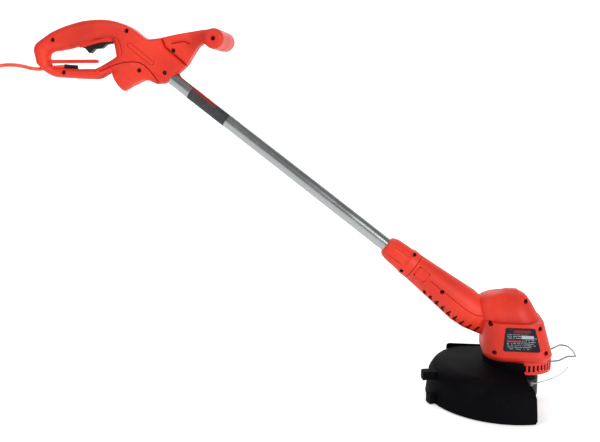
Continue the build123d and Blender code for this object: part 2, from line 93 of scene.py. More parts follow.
class Sheet:
    # one material on its Principled shader
    def __init__(self, name, **fixed):
        self.material = bpy.data.materials.new(name)
        self.material.use_nodes = True
        self.tree = self.material.node_tree
        self.shader = self.tree.nodes["Principled BSDF"]
        for key, value in fixed.items():
            self.shader.inputs[key.replace("_", " ")].default_value = value
        self.place = self.add("ShaderNodeTexCoord", output="Object")

    def add(self, kind, settings=None, inputs=None, output=0):
        node = self.tree.nodes.new(kind)
        for key, value in (settings or {}).items():
            if key == "stops":
                ramp = node.color_ramp
                while len(ramp.elements) < len(value):
                    ramp.elements.new(0.5)
                for element, (at, colour) in zip(ramp.elements, value):
                    element.position, element.color = at, (*colour, 1)
            else:
                setattr(node, key, value)
        for key, value in (inputs or {}).items():
            socket = node.inputs[key]
            if isinstance(value, Wire):
                self.tree.links.new(value.socket, socket)
            else:
                socket.default_value = value
        return Wire(self, node.outputs[output])

    def feed(self, name, wire):
        self.tree.links.new(wire.socket, self.shader.inputs[name])

    def axis(self, which):
        return self.add("ShaderNodeSeparateXYZ", inputs={0: self.place}, output=which)

    def along(self, direction, base=(0, 0, 0)):
        # distance along a direction, from a base point
        moved = self.add("ShaderNodeVectorMath", {"operation": "SUBTRACT"},
                         {0: self.place, 1: base})
        return self.add("ShaderNodeVectorMath", {"operation": "DOT_PRODUCT"},
                        {0: moved, 1: direction}, output="Value")

    def noise(self, scale, detail=3.0, rough=0.55, stretch=None, turn=(0, 0, 0)):
        where = self.place
        if stretch:
            where = self.add("ShaderNodeMapping", inputs={
                "Vector": where, "Rotation": turn, "Scale": stretch})
        return self.add("ShaderNodeTexNoise", {"noise_dimensions": "3D"}, {
            "Vector": where, "Scale": scale, "Detail": detail, "Roughness": rough})

    def cells(self, scale, feature="F1", output="Distance"):
        return self.add("ShaderNodeTexVoronoi", {"feature": feature},
                        {"Vector": self.place, "Scale": scale}, output=output)

    def mix(self, factor, low, high):
        # a colour between two colours
        def colour(value):
            return value if isinstance(value, Wire) else (*value, 1)
        return self.add("ShaderNodeMix", {"data_type": "RGBA"},
                        {0: factor, 6: colour(low), 7: colour(high)}, output=2)

    def bump(self, height, distance, strength=1.0):
        self.feed("Normal", self.add("ShaderNodeBump", inputs={
            "Height": height, "Distance": distance, "Strength": strength}))


# materials

plastic = {"red": (0.74, 0.040, 0.017), "deep": (0.60, 0.026, 0.012), "scuff": (0.78, 0.09, 0.055)}


def shellPlastic(name="shellPlastic", ribbed=False):
    # orange-red moulded ABS: spark-eroded grain, faint flow mottling, handled patches
    s = Sheet(name, Specular_IOR_Level=0.28)
    cloud, grain, smear = s.noise(9.0, 4), s.noise(2600.0, 2), s.noise(38.0, 5, 0.65)
    scratch = s.noise(120.0, 6, 0.7, (1.0, 9.0, 2.0), (0.4, 0.2, 0.9)).soft(0.63, 0.70)
    body = s.mix(cloud.soft(0.35, 0.7), plastic["deep"], plastic["red"])
    body = s.mix(scratch * 0.25, body, plastic["scuff"])
    relief = grain + s.cells(1500.0) * 0.6 + smear * 0.8
    if ribbed:
        # fine slanting ribs along the hand grip, in the bump, with painted shade darkening the red in the
        # grooves between them
        across = (s.along((0.866, 0, 0.5)) + 10.0) % 0.0034
        rib = abs(across - 0.0017) / 0.0017
        x, z = s.axis(0), s.axis(2)
        patch = x.soft(-0.862, -0.850) * (1 - x.soft(-0.770, -0.758)) * z.soft(0.620, 0.626)
        # painted shade: darker red in the rib grooves
        body = s.mix(rib.soft(0.35, 0.9) * patch * 0.42, body, (0.34, 0.012, 0.006))
        relief = relief - rib * patch * 4.0
    s.feed("Base Color", body)
    s.feed("Roughness", 0.40 + smear * 0.14 - scratch * 0.05 + grain * 0.04)
    s.bump(relief, 0.00006)
    return s.material


def guardPlastic():
    # black polypropylene: coarse grain, grass dust and rub marks
    s = Sheet("guardPlastic", Specular_IOR_Level=0.3, IOR=1.15)
    grain, dust = s.cells(900.0), s.noise(16.0, 6, 0.62)
    rub = s.noise(60.0, 5, 0.7, (1.0, 6.0, 1.0), (0, 0, 0.7)).soft(0.60, 0.72)
    body = s.mix(dust.soft(0.45, 0.75), (0.0024, 0.0021, 0.0032), (0.0048, 0.0043, 0.0055))
    s.feed("Base Color", s.mix(rub * 0.3, body, (0.012, 0.0112, 0.0115)))
    s.feed("Roughness", 0.60 + dust * 0.22 - rub * 0.10)
    s.bump(grain + dust * 2.0, 0.00009)
    return s.material


def darkPlastic():
    # fine black nylon of the trigger, spool and small covers
    s = Sheet("darkPlastic", Specular_IOR_Level=0.22)
    grain, dust = s.noise(1800.0, 2), s.noise(45.0, 5)
    s.feed("Base Color", s.mix(dust.soft(0.4, 0.75), (0.0050, 0.0050, 0.0056), (0.012, 0.0115, 0.0115)))
    s.feed("Roughness", 0.36 + dust * 0.2)
    s.bump(grain + dust * 0.5, 0.00005)
    return s.material


def tubeMetal():
    # drawn and polished tube: long draw lines, fine pits, fingermarks
    s = Sheet("tubeMetal", Specular_IOR_Level=0.5)
    turn = (0.0, -shaft["angle"], 0.0)
    draw = s.noise(900.0, 3, 0.6, (0.012, 1.0, 1.0), turn)
    broad = s.noise(60.0, 4, 0.6, (0.05, 1.0, 1.0), turn)
    smudge = s.noise(30.0, 4, 0.6)
    s.feed("Base Color", s.mix(draw * 0.6 + broad * 0.4, (0.29, 0.304, 0.308), (0.46, 0.476, 0.476)))
    s.feed("Metallic", 0.93 - smudge.soft(0.6, 0.8) * 0.08)
    s.feed("Roughness", 0.20 + draw * 0.08 + smudge.soft(0.4, 0.75) * 0.08)
    s.bump(draw * 1.4 + broad * 0.5, 0.00004)
    return s.material


def brightMetal():
    # plated steel wire, pins and springs
    s = Sheet("brightMetal")
    haze, scratch = s.noise(70.0, 5), s.noise(700.0, 3, 0.6, (1.0, 8.0, 1.0))
    s.feed("Base Color", s.mix(haze, (0.15, 0.15, 0.148), (0.27, 0.267, 0.262)))
    s.feed("Metallic", 1.0 - haze.soft(0.68, 0.8) * 0.15)
    s.feed("Roughness", 0.22 + haze * 0.18 + scratch * 0.08)
    s.bump(scratch + haze, 0.00003)
    return s.material


def screwMetal():
    # black oxide screws with rubbed drive slots
    s = Sheet("screwMetal", Specular_IOR_Level=0.25)
    rub, grain = s.noise(420.0, 5).soft(0.5, 0.72), s.noise(1500.0, 2)
    s.feed("Base Color", s.mix(rub, (0.010, 0.005, 0.005), (0.050, 0.036, 0.034)))
    s.feed("Metallic", 0.2 + rub * 0.3)
    s.feed("Roughness", 0.55 - rub * 0.12)
    s.bump(grain + rub, 0.00005)
    return s.material


def copperMetal():
    # enamelled copper turns
    s = Sheet("copperMetal", Coat_Weight=0.4, Coat_Roughness=0.25)
    turns = s.add("ShaderNodeTexWave", {"bands_direction": "Z"}, {
        "Vector": s.place, "Scale": 260.0, "Distortion": 0.6, "Detail": 2.0})
    haze = s.noise(80.0, 4)
    s.feed("Base Color", s.mix(haze, (0.42, 0.13, 0.05), (0.72, 0.30, 0.13)))
    s.feed("Metallic", 0.9 - haze * 0.2)
    s.feed("Roughness", 0.28 + haze * 0.2)
    s.bump(turns, 0.0003)
    return s.material


def laminationMetal():
    # stacked electrical steel
    s = Sheet("laminationMetal")
    stack = s.add("ShaderNodeTexWave", {"bands_direction": "Z", "wave_profile": "SAW"}, {
        "Vector": s.place, "Scale": 300.0, "Distortion": 0.2})
    haze = s.noise(50.0, 4)
    s.feed("Base Color", s.mix(haze, (0.10, 0.10, 0.11), (0.28, 0.27, 0.27)))
    s.feed("Metallic", 0.85 - haze * 0.2)
    s.feed("Roughness", 0.42 + haze * 0.2)
    s.bump(stack, 0.0002)
    return s.material


def carbonBlock():
    s = Sheet("carbonBlock")
    grain = s.cells(900.0)
    s.feed("Base Color", s.mix(grain, (0.012, 0.012, 0.013), (0.045, 0.045, 0.048)))
    s.feed("Roughness", 0.55 + grain * 0.3)
    s.bump(grain, 0.0001)
    return s.material


def brassMetal():
    s = Sheet("brassMetal")
    haze = s.noise(90.0, 5)
    s.feed("Base Color", s.mix(haze, (0.55, 0.36, 0.12), (0.80, 0.62, 0.28)))
    s.feed("Metallic", 1.0 - haze.soft(0.7, 0.85) * 0.2)
    s.feed("Roughness", 0.22 + haze * 0.2)
    s.bump(haze, 0.00004)
    return s.material


def nylonLine():
    # drawn monofilament, slightly cloudy, with flats from the spool
    s = Sheet("nylonLine", IOR=1.53)
    cloud = s.noise(160.0, 4)
    s.feed("Base Color", s.mix(cloud, (0.30, 0.31, 0.30), (0.52, 0.53, 0.51)))
    s.feed("Roughness", 0.25 + cloud * 0.2)
    s.bump(s.noise(500.0, 3), 0.00008)
    return s.material


def cordSheath():
    # orange-red round cable sheath, matt, with rub marks and dust
    s = Sheet("cordSheath", Specular_IOR_Level=0.38)
    dust, grain = s.noise(70.0, 5, 0.6), s.noise(1400.0, 2)
    s.feed("Base Color", s.mix(dust.soft(0.35, 0.75), (0.72, 0.062, 0.028), (0.80, 0.11, 0.06)))
    s.feed("Roughness", 0.46 + dust * 0.2)
    s.bump(grain + dust, 0.00007)
    return s.material


def rubberBlack():
    s = Sheet("rubberBlack", Specular_IOR_Level=0.2)
    dust, grain = s.noise(60.0, 5, 0.62), s.cells(1300.0)
    s.feed("Base Color", s.mix(dust.soft(0.4, 0.8), (0.006, 0.006, 0.0066), (0.016, 0.0155, 0.015)))
    s.feed("Roughness", 0.55 + dust * 0.22)
    s.bump(grain + dust, 0.00008)
    return s.material


def bars(s, across, down, width, height, rows, margin, seed):
    # rows of plain dashes standing for small print: 1 on a dash
    row = (down / height * rows).floor()
    inRow = (down / height * rows) % 1.0
    drift = s.add("ShaderNodeTexWhiteNoise", {"noise_dimensions": "1D"}, {"W": row + seed})
    step = s.add("ShaderNodeTexNoise", {"noise_dimensions": "2D"}, {
        "Vector": s.add("ShaderNodeCombineXYZ", inputs={0: across * 520.0, 1: row * 7.3 + seed}),
        "Scale": 1.0, "Detail": 0.0})
    inside = (across > margin) * (across < (drift * 0.30 + 0.66) * width)
    return inside * step.soft(0.40, 0.44) * inRow.soft(0.22, 0.30) * (1 - inRow.soft(0.66, 0.74))


def tubeLabel():
    # dark wrap label with a red band and plain rows
    s = Sheet("tubeLabel", Specular_IOR_Level=0.25, Coat_Roughness=0.2)
    run = s.along(shaftUp, (0, 0, shaft["height"]))
    side = s.axis(1).angle(s.along(shaftSide, (0, 0, shaft["height"]))) * shaft["radius"]
    worn = s.noise(55.0, 5, 0.65)
    across = 0.752 - run
    down = 0.0 - side
    band = (down > 0.0075) * (down < 0.0135) * (across > 0.002) * (across < 0.052)
    rows = bars(s, across, down, 0.079, 0.026, 9, 0.003, 2.0) * (down > 0.0145)
    ink = s.mix(worn.soft(0.3, 0.8), (0.020, 0.023, 0.026), (0.036, 0.039, 0.042))
    ink = s.mix(band, ink, (0.24, 0.012, 0.012))
    s.feed("Base Color", s.mix(rows * 0.5, ink, (0.08, 0.088, 0.092)))
    s.feed("Coat Weight", 0.2 - worn * 0.1)
    s.feed("Roughness", 0.45 + worn * 0.2)
    s.bump(s.noise(900.0, 2) + rows * 0.4, 0.00004)
    return s.material


def ratingPlate():
    # dark plate with a red heading bar, grey rows and a light panel, no lettering
    s = Sheet("ratingPlate", Specular_IOR_Level=0.3, IOR=1.2, Coat_Roughness=0.15)
    low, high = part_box("nameplate")
    across = s.axis(0) - low[0]
    down = high[2] - s.axis(2)
    wide, tall = high[0] - low[0], high[2] - low[2]
    worn = s.noise(60.0, 5, 0.6)
    heading = (down > 0.0035) * (down < 0.0085) * (across > 0.017) * (across < 0.045)
    headRows = heading * bars(s, across - 0.017, down, 0.034, tall, 14, 0.0, 5.0).soft(0.0, 1.0)
    second = (down > 0.0195) * (down < 0.0225) * (across > 0.006) * (across < 0.034)
    panel = (across > 0.030) * (across < 0.050) * (down > 0.0125) * (down < 0.0180)
    rows = bars(s, across, down, wide, tall, 13, 0.0055, 1.0)
    rows = rows * (down > 0.0105) * (1 - second) * (1 - panel) * (down < tall - 0.003)
    ink = s.mix(worn.soft(0.3, 0.8), (0.010, 0.011, 0.015), (0.021, 0.023, 0.028))
    ink = s.mix((heading * 0.55 + headRows * 0.45 + second * 0.5).smaller(0.85), ink, (0.30, 0.022, 0.018))
    ink = s.mix(rows * 0.75, ink, (0.30, 0.33, 0.36))
    ink = s.mix(panel * (0.55 + worn * 0.4), ink, (0.50, 0.54, 0.57))
    s.feed("Base Color", ink)
    s.feed("Coat Weight", 0.10 - worn * 0.06)
    s.feed("Roughness", 0.30 + worn * 0.18)
    s.bump(s.noise(700.0, 2) + rows * 0.5, 0.00003)
    return s.material


finishes = {
    "shell_red": shellPlastic(), "guard_black": guardPlastic(), "rubber_black": rubberBlack(),
    "tube_metal": tubeMetal(), "label_dark": tubeLabel(), "plate_dark": darkPlastic(),
    "screw_black": screwMetal(), "steel_bright": brightMetal(), "copper": copperMetal(),
    "lamination": laminationMetal(), "nylon_line": nylonLine(), "cord_orange": cordSheath(),
    "carbon": carbonBlock(), "brass": brassMetal(), "grip_red": shellPlastic("gripPlastic", True),
}
special = {
    "nameplate": ratingPlate(), "trigger": finishes["plate_dark"],
    "spool_case": finishes["plate_dark"], "bump_knob": finishes["plate_dark"],
}


def dressFrame():
    # each CAD node takes the finish of its material slot
    for entry in frame["record"]["subparts"]:
        node = entry["node"]
        thing = bpy.data.objects.get(node)
        if thing is None:
            print("no object for", node)
            continue
        finish = special.get(node, finishes[entry["material_slot"]])
        for place in thing.material_slots:
            place.material = finish


dressFrame()
print("materials on")


# surfaces

def gridFaces(rows, columns, wrap=False):
    # quads of a grid of rows by columns; wrap joins the last column to the first
    last = columns if wrap else columns - 1
    row, column = np.meshgrid(np.arange(rows - 1), np.arange(last), indexing="ij")
    here, beside = row * columns + column, row * columns + (column + 1) % columns
    return np.stack([here, beside, beside + columns, here + columns], -1).reshape(-1, 4)


def spun(profile, count):
    # a profile of (radius, height) turned about Z: x = r cos t, y = r sin t, z = height
    turn = np.arange(count) * 2 * math.pi / count
    radius, height = np.asarray(profile, float).T
    points = np.stack([radius[:, None] * np.cos(turn), radius[:, None] * np.sin(turn),
                       np.repeat(height[:, None], count, axis=1)], axis=-1)
    return points.reshape(-1, 3), gridFaces(len(profile), count, wrap=True)


def netSurface(field, low, step):
    # one point in each cell that the surface field = 0 crosses, at the mean of its edges'
    # crossings, and one quad round each crossed edge; the field is positive inside
    cells = np.array(field.shape) - 1
    total, count = np.zeros((cells.prod(), 3)), np.zeros(cells.prod())
    rings = []
    for axis in range(3):
        across, up = (axis + 1) % 3, (axis + 2) % 3
        start = np.moveaxis(field, axis, 0)[:-1]
        end = np.moveaxis(field, axis, 0)[1:]
        crossed = np.moveaxis((start > 0) != (end > 0), 0, axis)
        at = np.argwhere(crossed)
        first = field[tuple(at.T)]
        further = at.copy()
        further[:, axis] += 1
        second = field[tuple(further.T)]
        where = at.astype(float)
        where[:, axis] += first / (first - second)
        inner = (at[:, across] > 0) & (at[:, up] > 0)
        inner &= (at[:, across] < cells[across]) & (at[:, up] < cells[up])
        at, where, leaving = at[inner], where[inner], first[inner] > 0
        corners = []
        for moveAcross, moveUp in ((-1, -1), (0, -1), (0, 0), (-1, 0)):
            cell = at.copy()
            cell[:, across] += moveAcross
            cell[:, up] += moveUp
            index = np.ravel_multi_index(cell.T, cells)
            corners.append(index)
            count += np.bincount(index, minlength=len(count))
            for part in range(3):
                total[:, part] += np.bincount(index, where[:, part], minlength=len(count))
        quad = np.stack(corners, -1)
        rings.append(np.where(leaving[:, None], quad, quad[:, ::-1]))
    used = count > 0
    place = np.cumsum(used) - 1
    points = total[used] / count[used][:, None] * step + np.asarray(low)
    return points, place[np.vstack(rings)]


def netPiece(name, points, quads, finish, body):
    mesh = bpy.data.meshes.new(name)
    mesh.vertices.add(len(points))
    mesh.vertices.foreach_set("co", (points * 0.001).ravel())
    mesh.loops.add(quads.size)
    mesh.loops.foreach_set("vertex_index", quads.ravel().astype(np.int32))
    mesh.polygons.add(len(quads))
    mesh.polygons.foreach_set("loop_start", np.arange(0, quads.size, 4, dtype=np.int32))
    mesh.update(calc_edges=True)
    mesh.validate()
    mesh.shade_smooth()
    mesh.materials.append(finish)
    thing = bpy.data.objects.new(name, mesh)
    bpy.context.collection.objects.link(thing)
    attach(thing, body)
    return thing


def outlineDistance(corners, x, z):
    # distance to a closed outline, positive inside it
    corners = np.asarray(corners, float)
    least = np.full(x.shape, 1e9)
    inside = np.zeros(x.shape, bool)
    for (ax, az), (bx, bz) in zip(corners, np.roll(corners, -1, axis=0)):
        dx, dz = bx - ax, bz - az
        along = np.clip(((x - ax) * dx + (z - az) * dz) / (dx * dx + dz * dz), 0, 1)
        least = np.minimum(least, np.hypot(x - ax - along * dx, z - az - along * dz))
        crossing = (az > z) != (bz > z)
        inside ^= crossing & (x < ax + (z - az) / (dz if dz else 1e-9) * dx)
    return np.where(inside, least, -least)


def softMin(first, second, blend):
    # the smaller of two, rounded where they are closer than blend
    near = np.clip(0.5 + 0.5 * (second - first) / blend, 0, 1)
    return second + (first - second) * near - blend * near * (1 - near)


def softMax(first, second, blend):
    return -softMin(-first, -second, blend)


def rounded(distance, out, half, corner):
    # a plate of this half thickness with rounded edges, positive inside
    across, up = corner - distance, out - (half - corner)
    return corner - np.hypot(np.maximum(across, 0), np.maximum(up, 0)) - np.minimum(
        np.maximum(across, up), 0)


def ramp(value, start, end):
    t = np.clip((value - start) / (end - start), 0, 1)
    return t * t * (3 - 2 * t)


# rear handle, in millimetres

grip = {
    "outline": [
        (-886, 612), (-885, 619), (-881, 626), (-873, 632), (-862, 639), (-850.5, 646),
        (-835, 652.5), (-821, 657.3), (-808, 661), (-792, 664.6), (-776, 666.4), (-760, 666.9),
        (-749, 666.4), (-738.5, 665), (-728, 662.6), (-717.5, 659.2), (-707, 655), (-697, 649.8),
        (-686.5, 642), (-678, 635), (-672, 631.6), (-664, 631.6), (-646.4, 633.7),
        (-639.3, 616.8), (-601.6, 585.3), (-617, 572), (-627, 564), (-635, 556.8), (-644, 554),
        (-657, 552.8), (-663, 556), (-671, 559.3), (-681, 559.6), (-690, 556), (-700, 550.9),
        (-720, 562), (-741, 573.3), (-752, 567.6), (-761, 563), (-770, 561.7), (-794, 562.6),
        (-821, 564.2), (-845, 566), (-855, 569.4), (-864, 575), (-873, 582.5), (-880, 590),
        (-882, 598),
    ],
    "window": [
        (-856, 588), (-857, 602), (-854, 608), (-846, 611.5), (-832, 613), (-813, 616.4),
        (-796, 621), (-779, 626.6), (-763, 631), (-747, 633.6), (-737, 632), (-734, 626),
        (-732, 614), (-730.4, 602), (-740, 596), (-752, 589.6), (-762, 584), (-771, 580.6),
        (-800, 580.6), (-845, 582),
    ],
    "lip": [(-797, 617.5), (-789, 618), (-773, 622.8), (-757, 626.3), (-736, 627), (-736, 637),
            (-797, 625)],
    "half": 17.0,
    "gripCorner": 17.0,
    "bodyCorner": 10.0,
    "strutCorner": 13.0,
    "swell": (-700, 570, 63, 35, 22),     # centre and half sizes of the bulge over the cup
    "cup": (-730.5, 558.5, 0.87, 0.493, 22.0, 46.0),
    "slot": (-702.8, 622.2, -663.5, 591.2, 4.1),
    "crease": [(-760, 577), (-744, 583.5), (-729, 588.9), (-714.8, 592.3), (-699, 593.2),
               (-686, 591.7), (-676, 586.9), (-666, 577), (-658, 567), (-652, 557)],
    "screws": [(-843.5, 631), (-707, 645.3), (-827, 574), (-685, 577), (-639.8, 572.8)],
    "step": 0.95,
}
arm = {
    "outline": [
        (-646, 634), (-618, 639.6), (-592, 643.6), (-569, 647), (-556, 648.2), (-543, 646),
        (-532, 637), (-530, 622), (-540, 612), (-556, 618), (-564, 622), (-573, 622),
        (-580, 617.5), (-593.5, 598.6), (-601.2, 585.7), (-638.9, 617.2),
    ],
    "half": 14.0,
    "corner": 6.0,
    "bar": (-543.5, 628.5, 17.5, 53.0, 8.0),
    "screws": [(-624, 611, 8.0), (-543.5, 628.5, 30.0)],
    "mark": [(-628, 625.2), (-604.6, 628.7), (-594.4, 623.7)],
    "step": 0.95,
}


def axes(low, high, step):
    return [np.arange(a, b + step, step) for a, b in zip(low, high)]


def strokeDistance(points, x, z):
    # distance to an open line of points
    least = np.full(x.shape, 1e9)
    for (ax, az), (bx, bz) in zip(points, points[1:]):
        dx, dz = bx - ax, bz - az
        along = np.clip(((x - ax) * dx + (z - az) * dz) / (dx * dx + dz * dz), 0, 1)
        least = np.minimum(least, np.hypot(x - ax - along * dx, z - az - along * dz))
    return least


def gripBody(flat, out):
    # the handle's plate: outline less finger window, thicker over the cup, thinner along the
    # crease, the slot's rim and the window's border
    window = -outlineDistance(grip["window"], *flat)
    distance = softMin(outlineDistance(grip["outline"], *flat) - 0.12, window, 5.0)
    toBody = ramp(flat[0], -765, -700)
    corner = grip["gripCorner"] * (1 - toBody) + grip["bodyCorner"] * toBody
    low = ramp(-flat[1], -612, -590) * (1 - toBody)
    corner = corner * (1 - low) + grip["strutCorner"] * low
    cx, cz, rx, rz, ry = grip["swell"]
    bulge = 1 - ((flat[0] - cx) / rx) ** 2 - ((flat[1] - cz) / rz) ** 2
    half = softMax(np.full(bulge.shape, grip["half"]), ry * np.sqrt(np.maximum(bulge, 0)), 1.2)
    sx, sz, ex, ez, radius = grip["slot"]
    rim = np.abs(strokeDistance([(sx, sz), (ex, ez)], *flat) - radius)
    border = np.abs(window - 13.5) + 30 * ramp(-flat[0], 727, 735) + 30 * ramp(
        -flat[1], -606, -598)
    half = half - 1.3 * np.exp(-(strokeDistance(grip["crease"], *flat) / 1.6) ** 2)
    half = half - 1.2 * np.exp(-(rim / 0.9) ** 2) - 1.0 * np.exp(-(border / 1.0) ** 2)
    return rounded(distance[:, None, :], out, half[:, None, :], corner[:, None, :])


def addCup(body, x, out, z):
    # a round cup joined to the body and hollowed from its mouth
    ux, uz, vx, vz, radius, length = grip["cup"]
    along = (x - ux) * vx + (z - uz) * vz
    fromAxis = np.hypot((z - uz) * vx - (x - ux) * vz, out)
    drum = softMin(radius - fromAxis, softMin(along, length - along, 1.5), 5.0)
    drum = softMin(drum, along + 0.4, 1.0)
    hollow = np.minimum(radius - 2.6 - fromAxis, 24.0 - along)
    return np.minimum(softMax(body, drum, 1.6), -hollow)


def gripHoles(x, out, z):
    # positive inside the trigger pocket, the cord hole and the socket of the tube
    pocket = np.minimum(np.minimum(31.5 - np.abs(x + 767), 15 - np.abs(z - 625)), 6.4 - out)
    tilt = (z - 581.8) - (x + 868) * 0.1637
    cordHole = np.minimum(5.0 - np.hypot(tilt, out), -846 - x)
    angle, rise = shaft["angle"], shaft["height"] * 1000
    up = x * math.sin(angle) + (z - rise) * math.cos(angle)
    run = -x * math.cos(angle) + (z - rise) * math.sin(angle)
    socket = np.minimum(12.8 - np.hypot(up, out), 851 - run)
    return np.maximum(np.maximum(pocket, cordHole), socket)


def strutNotches(x, z):
    # a row of teeth cut across the sloping underside in front of the cup
    along = (x + 745) * 0.902 + (z - 571.2) * 0.43
    teeth = np.abs((along + 1.9) % 3.77 - 1.9)
    fromEdge = np.abs((z - 571.2) - (x + 745) * 0.4765)
    return np.minimum(np.minimum(1.2 - teeth, 3.4 - fromEdge),
                      np.minimum(x + 771, -742.5 - x))


def gripField(x, out, z, side):
    # the handle half: body, cup and trigger lip, less its holes, notches and screw bores
    flat = x[:, 0, :], z[:, 0, :]
    solid = addCup(gripBody(flat, out), x, out, z)
    lip = rounded(outlineDistance(grip["lip"], *flat)[:, None, :], out, 9.5, 1.8)
    solid = softMax(solid, lip, 1.0)
    solid = np.minimum(solid, -gripHoles(x, out, z))
    solid = np.minimum(solid, -strutNotches(x, z))
    if side < 0:
        for sx, sz in grip["screws"]:
            floor = 13.6 if sx > -645 else 8
            bore = np.minimum(3.9 - np.hypot(x - sx, z - sz), out - floor)
            solid = np.minimum(solid, -bore)
    return solid


def armField(x, out, z, side):
    # the assist handle's half: a plate with a pressed mark, joined with the round cross bar
    flat = x[:, 0, :], z[:, 0, :]
    distance = outlineDistance(arm["outline"], *flat) - 0.12
    mark = strokeDistance(arm["mark"], *flat)
    half = arm["half"] - 2.2 * np.exp(-(mark / 1.5) ** 2)
    plate = rounded(distance[:, None, :], out, half[:, None, :], arm["corner"])
    bx, bz, radius, reach, corner = arm["bar"]
    bar = rounded(radius - np.hypot(x - bx, z - bz), out, reach, corner)
    solid = softMax(plate, bar, 5.0)
    if side < 0:
        for sx, sz, floor in arm["screws"]:
            bore = np.minimum(3.9 - np.hypot(x - sx, z - sz), out - floor)
            solid = np.minimum(solid, -bore)
    return solid


def makeHalves(field, low, high, step, names, nodes):
    # each half is worked out for its own side and mirrored in Y where needed
    for side, name, node in zip((-1, 1), names, nodes):
        lines = axes(low, high, step)
        x, out, z = np.meshgrid(*lines, indexing="ij")
        solid = np.minimum(field(x, out, z, side), out - 0.08)
        points, quads = netSurface(solid, low, step)
        points[:, 1] *= side
        if side < 0:
            quads = quads[:, ::-1]
        piece = netPiece(name, points, quads, finishes["grip_red"], "handle")
        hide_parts(node)
        print(name, len(quads) * 2, "triangles")


makeHalves(gripField, (-890, -1.4, 536), (-598, 24, 671), grip["step"],
           ("gripRight", "gripLeft"), ("handle_shell_right", "handle_shell_left"))
makeHalves(armField, (-650, -1.4, 582), (-522, 55, 653), arm["step"],
           ("armRight", "armLeft"), ("assist_handle_right", "assist_handle_left"))
print("handle moulded")


# painted shade: dark strips laid along moulded lines, creases and rims and over the cooling notches, (x,
# z) in millimetres on a plane 22 in front

shadeStrips = {
    "neckGroove": ("head", 0.6, [
        (-166.8, 210.6), (-156.8, 202.5), (-147.3, 195.0), (-133.1, 183.8), (-118.8, 172.2),
        (-106.9, 162.8), (-96.3, 155.9), (-85.7, 151.4), (-74.5, 150.2)]),
    "collarRidge": ("handle", 0.35, [(-230.5, 270.0), (-218.7, 262.4), (-205.0, 252.4)]),
    "collarFold": ("handle", 0.35, [(-240.0, 255.4), (-230.1, 247.7), (-218.0, 239.2)]),
    "swellCrease": ("grip", 1.2, grip["crease"]),
    "armMark": ("arm", 1.3, arm["mark"]),
    "slotRim": ("grip", 0.42, [
        (-700.2, 625.4), (-660.9, 594.4), (-659.4, 590.6), (-661.6, 587.2), (-666.1, 588.0),
        (-705.4, 619.0), (-706.9, 622.8), (-704.7, 626.2), (-700.2, 625.4)]),
    "pocketEdge": ("grip", 0.5, [
        (-731, 636), (-724, 634), (-719, 624), (-717, 612), (-718, 604)]),
}
notches = [
    (-181.8, 188.7, -174.8, 191.9), (-171.0, 180.3, -164.1, 183.7),
    (-160.2, 169.6, -152.1, 174.8), (-149.4, 160.9, -141.4, 166.1),
    (-139.1, 152.2, -130.6, 157.1), (-127.8, 143.2, -119.4, 148.9),
    (-116.5, 134.5, -106.7, 140.3), (-104.0, 128.1, -93.2, 134.2),
    (-89.8, 123.2, -80.1, 131.0),
]


def grooveShade(name, low, high):
    # the shaded floor of a moulded groove: the same plastic, in its own shadow
    s = Sheet(name, Specular_IOR_Level=0.05)
    dust = s.noise(90.0, 4)
    s.feed("Base Color", s.mix(dust.soft(0.4, 0.7), low, high))
    s.feed("Roughness", 0.6 + dust * 0.2)
    s.bump(dust, 0.00004)
    return s.material


def surfaceOf(nodes):
    # a search tree over the faces of some pieces, in metres
    points, faces = [], []
    for node in nodes:
        thing = bpy.data.objects[node]
        first = len(points)
        points += [thing.matrix_world @ v.co for v in thing.data.vertices]
        faces += [[first + i for i in face.vertices] for face in thing.data.polygons]
    return BVHTree.FromPolygons(points, faces)


def layLine(name, surface, route, widths, finish, body):
    # a thin strip laid on the surface, met along one direction
    heading = Vector((0.091, 0.961, -0.264)).normalized()
    route = np.asarray(route, float)
    slopes = np.gradient(route, axis=0)
    slopes /= np.linalg.norm(slopes, axis=1)[:, None]
    points, rows = [], 0
    for (x, z), (tx, tz), width in zip(route, slopes, widths):
        row = []
        for across in (-width, 0.0, width):
            start = Vector((x - tz * across, -22.0, z + tx * across)) * 0.001 - heading * 0.15
            hit, normal, _, _ = surface.ray_cast(start, heading)
            if hit is None:
                break
            normal = normal if normal.dot(heading) < 0 else -normal
            row.append(hit + normal * 0.00012)
        if len(row) < 3:
            continue
        points += row
        rows += 1
    if rows < 2:
        print("nothing under", name)
        return
    quads = gridFaces(rows, 3)[:, ::-1]     # facing out, towards -Y
    netPiece(name, np.array(points) * 1000, quads, finish, body)


def resample(route, gap):
    # even points along a route, about one gap apart
    route = np.asarray(route, float)
    lengths = np.concatenate([[0], np.cumsum(np.linalg.norm(np.diff(route, axis=0), axis=1))])
    at = np.linspace(0, lengths[-1], max(int(lengths[-1] / gap), 2) + 1)
    return np.stack([np.interp(at, lengths, route[:, i]) for i in (0, 1)], axis=1)


def makeShadeStrips():
    # painted shade: every groove line as a dark red strip, then the notches as darker strips, which taper
    # to both ends
    deep = grooveShade("paintedShadeDeep", (0.060, 0.002, 0.001), (0.115, 0.006, 0.004))
    soft = grooveShade("paintedShadeSoft", (0.300, 0.008, 0.004), (0.380, 0.014, 0.008))
    surface = {"head": surfaceOf(["motor_housing_right"]),
               "handle": surfaceOf(["collar_right"]),
               "grip": surfaceOf(["gripRight"]), "arm": surfaceOf(["armRight"])}
    for name, (place, width, route) in shadeStrips.items():
        fine = resample(route, 1.5)
        body = "head" if place == "head" else "handle"
        layLine(name, surface[place], fine, [width] * len(fine), soft, body)
    for i, (ax, az, bx, bz) in enumerate(notches):
        fine = resample([(ax, az), (bx, bz)], 0.6)
        taper = np.sin(np.linspace(0.12, 0.88, len(fine)) * math.pi) ** 0.5
        layLine(f"notch{i + 1}", surface["head"], fine, taper * 1.9, deep, "head")


